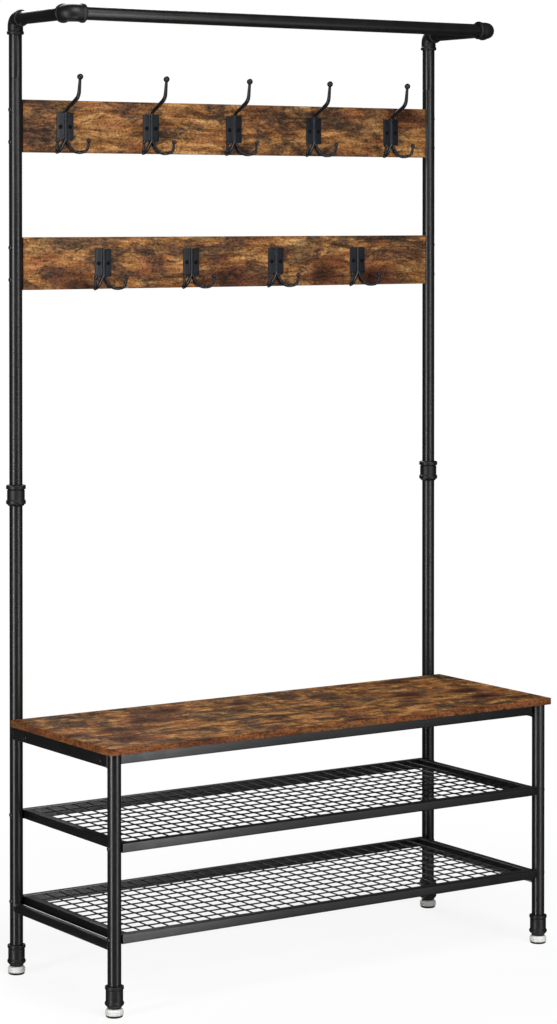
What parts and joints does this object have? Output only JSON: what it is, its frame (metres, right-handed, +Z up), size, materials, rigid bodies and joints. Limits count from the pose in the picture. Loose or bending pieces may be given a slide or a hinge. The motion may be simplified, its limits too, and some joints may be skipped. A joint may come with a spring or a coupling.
{
  "type": "hall tree",
  "caption": "Free-standing steel-tube hall tree with a bench, two mesh shoe shelves, two boards of coat hooks and a hanging rail on pipe-style fittings.",
  "frame": {"origin": "on the floor, in the middle of the object's box, under the bench", "axes": "+X from the left posts to the right posts, seen from the front; +Y from the front legs to the rear posts; +Z up"},
  "size_m": [1.013, 0.4002, 1.8305],
  "materials": {
    "frame_steel": "satin black powder coat",
    "fitting_black": "satin black powder coat on cast pipe fittings",
    "mesh_steel": "semi-gloss black powder coat",
    "seat_wood": "rustic brown wood-grain foil, matt",
    "board_wood": "rustic brown wood-grain foil, matt",
    "hook_metal": "satin slate-black enamel",
    "fastener_black": "black oxide",
    "zinc_steel": "zinc plated",
    "glide_plastic": "white moulded plastic",
    "pad_rubber": "matt black"
  },
  "bodies": {
    "frame": {"coat_hook_1": "hook_metal", "coat_hook_2": "hook_metal", "coat_hook_3": "hook_metal", "coat_hook_4": "hook_metal", "foot_collar_front_left": "fitting_black", "foot_collar_front_right": "fitting_black", "foot_collar_rear_left": "fitting_black", "foot_collar_rear_right": "fitting_black", "foot_nuts": "zinc_steel", "front_elbow_left": "fitting_black", "front_elbow_right": "fitting_black", "front_leg_left": "frame_steel", "front_leg_right": "frame_steel", "hanging_rail": "frame_steel", "hat_hook_1": "hook_metal", "hat_hook_2": "hook_metal", "hat_hook_3": "hook_metal", "hat_hook_4": "hook_metal", "hat_hook_5": "hook_metal", "hook_screws": "fastener_black", "lower_hook_board": "board_wood", "lower_shelf_frame": "frame_steel", "lower_shelf_mesh": "mesh_steel", "post_bolts": "fastener_black", "post_coupling_left": "fitting_black", "post_coupling_right": "fitting_black", "rear_elbow_left": "fitting_black", "rear_elbow_right": "fitting_black", "rear_post_lower_left": "frame_steel", "rear_post_lower_right": "frame_steel", "rear_post_upper_left": "frame_steel", "rear_post_upper_right": "frame_steel", "riser_left": "frame_steel", "riser_right": "frame_steel", "seat_board": "seat_wood", "seat_frame_bolts": "fastener_black", "seat_front_rail": "frame_steel", "seat_rear_rail": "frame_steel", "seat_screws": "fastener_black", "seat_side_rail_left": "frame_steel", "seat_side_rail_right": "frame_steel", "side_stretcher_left": "frame_steel", "side_stretcher_right": "frame_steel", "top_arm_left": "frame_steel", "top_arm_right": "frame_steel", "upper_hook_board": "board_wood", "upper_shelf_frame": "frame_steel", "upper_shelf_mesh": "mesh_steel"},
    "glide_front_left": {"glide_base_front_left": "glide_plastic", "glide_pad_front_left": "pad_rubber"},
    "stem_front_left": {"glide_stem_front_left": "zinc_steel"},
    "glide_front_right": {"glide_base_front_right": "glide_plastic", "glide_pad_front_right": "pad_rubber"},
    "stem_front_right": {"glide_stem_front_right": "zinc_steel"},
    "glide_rear_left": {"glide_base_rear_left": "glide_plastic", "glide_pad_rear_left": "pad_rubber"},
    "stem_rear_left": {"glide_stem_rear_left": "zinc_steel"},
    "glide_rear_right": {"glide_base_rear_right": "glide_plastic", "glide_pad_rear_right": "pad_rubber"},
    "stem_rear_right": {"glide_stem_rear_right": "zinc_steel"}
  },
  "joints": [
    {"name": "glide_slide_front_left", "type": "slide", "parent": "frame", "child": "glide_front_left", "axis": [0, 0, -1], "range_m": [0, 0.008]},
    {"name": "stem_turn_front_left", "type": "hinge", "parent": "glide_front_left", "child": "stem_front_left", "pos_m": [-0.487, -0.18263, 0.03], "axis": [0, 0, -1], "range_deg": [-5, 2310]},
    {"name": "glide_slide_front_right", "type": "slide", "parent": "frame", "child": "glide_front_right", "axis": [0, 0, -1], "range_m": [0, 0.008]},
    {"name": "stem_turn_front_right", "type": "hinge", "parent": "glide_front_right", "child": "stem_front_right", "pos_m": [0.487, -0.18263, 0.03], "axis": [0, 0, -1], "range_deg": [-5, 2310]},
    {"name": "glide_slide_rear_left", "type": "slide", "parent": "frame", "child": "glide_rear_left", "axis": [0, 0, -1], "range_m": [0, 0.008]},
    {"name": "stem_turn_rear_left", "type": "hinge", "parent": "glide_rear_left", "child": "stem_rear_left", "pos_m": [-0.487, 0.18138, 0.03], "axis": [0, 0, -1], "range_deg": [-5, 2310]},
    {"name": "glide_slide_rear_right", "type": "slide", "parent": "frame", "child": "glide_rear_right", "axis": [0, 0, -1], "range_m": [0, 0.008]},
    {"name": "stem_turn_rear_right", "type": "hinge", "parent": "glide_rear_right", "child": "stem_rear_right", "pos_m": [0.487, 0.18138, 0.03], "axis": [0, 0, -1], "range_deg": [-5, 2310]}
  ],
  "couplings": [
    {"joint": "stem_turn_front_left", "follows": "glide_slide_front_left", "rad_per_m": 5026.5},
    {"joint": "stem_turn_front_right", "follows": "glide_slide_front_right", "rad_per_m": 5026.5},
    {"joint": "stem_turn_rear_left", "follows": "glide_slide_rear_left", "rad_per_m": 5026.5},
    {"joint": "stem_turn_rear_right", "follows": "glide_slide_rear_right", "rad_per_m": 5026.5}
  ]
}
